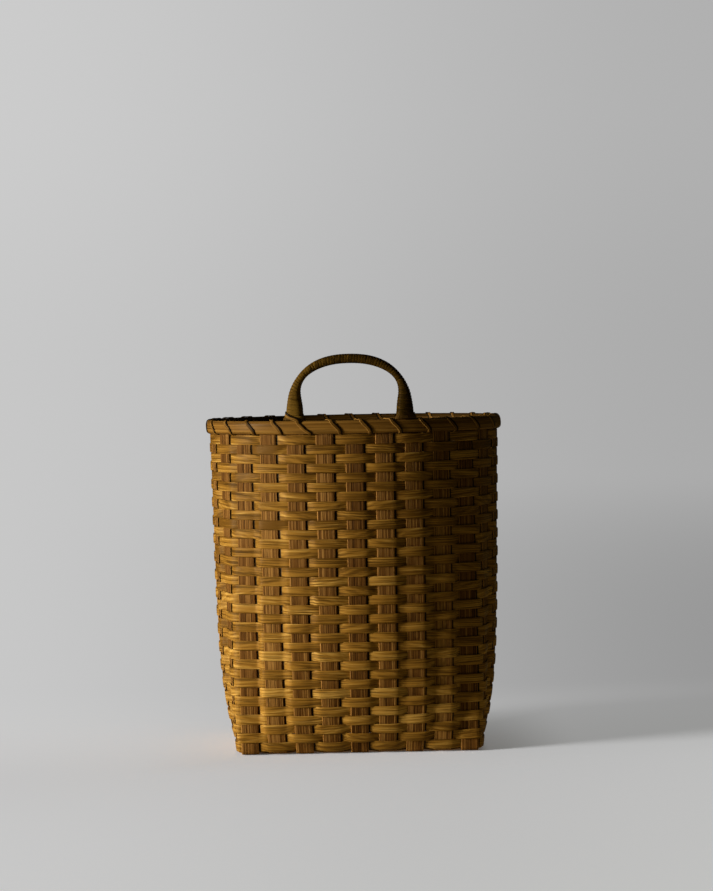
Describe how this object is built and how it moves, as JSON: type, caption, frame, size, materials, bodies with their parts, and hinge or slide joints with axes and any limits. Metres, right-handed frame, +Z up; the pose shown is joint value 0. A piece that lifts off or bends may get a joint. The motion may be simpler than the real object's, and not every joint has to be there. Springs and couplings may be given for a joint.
{
  "type": "pack basket",
  "caption": "Tall pack basket of plain-woven wood splints on a rectangular base, flaring to an oval mouth with a laced hoop rim and a fixed, cane-bound bow handle.",
  "frame": {"origin": "centre of the footprint, on the surface that the basket stands on", "axes": "+Z up out of the mouth; -Y toward the side that carries the handle; +X to the right when that side is looked at"},
  "size_m": [0.3308, 0.252, 0.4368],
  "materials": {
    "stake_splint": "satin, aged red-brown",
    "weaver_splint": "satin, aged honey brown",
    "hoop_wood": "satin, smooth",
    "lashing_splint": "satin",
    "handle_wood": "satin, dark",
    "handle_cane": "satin, dark"
  },
  "bodies": {
    "root": {"long_stake_1": "stake_splint", "long_stake_2": "stake_splint", "long_stake_3": "stake_splint", "long_stake_4": "stake_splint", "long_stake_5": "stake_splint", "long_stake_6": "stake_splint", "long_stake_7": "stake_splint", "long_stake_8": "stake_splint", "long_stake_9": "stake_splint", "cross_stake_1": "stake_splint", "cross_stake_2": "stake_splint", "cross_stake_3": "stake_splint", "cross_stake_4": "stake_splint", "cross_stake_5": "stake_splint", "weaver_01": "weaver_splint", "weaver_02": "weaver_splint", "weaver_03": "weaver_splint", "weaver_04": "weaver_splint", "weaver_05": "weaver_splint", "weaver_06": "weaver_splint", "weaver_07": "weaver_splint", "weaver_08": "weaver_splint", "weaver_09": "weaver_splint", "weaver_10": "weaver_splint", "weaver_11": "weaver_splint", "weaver_12": "weaver_splint", "weaver_13": "weaver_splint", "weaver_14": "weaver_splint", "weaver_15": "weaver_splint", "weaver_16": "weaver_splint", "weaver_17": "weaver_splint", "weaver_18": "weaver_splint", "weaver_19": "weaver_splint", "weaver_20": "weaver_splint", "weaver_21": "weaver_splint", "weaver_22": "weaver_splint", "weaver_23": "weaver_splint", "weaver_24": "weaver_splint", "weaver_25": "weaver_splint", "weaver_26": "weaver_splint", "weaver_27": "weaver_splint", "weaver_28": "weaver_splint", "weaver_29": "weaver_splint", "weaver_30": "weaver_splint", "weaver_31": "weaver_splint", "weaver_32": "weaver_splint", "weaver_33": "weaver_splint", "weaver_34": "weaver_splint", "outer_hoop": "hoop_wood", "inner_hoop": "hoop_wood", "rim_lashing": "lashing_splint", "handle_bow": "handle_wood", "handle_binding": "handle_cane"}
  },
  "joints": []
}
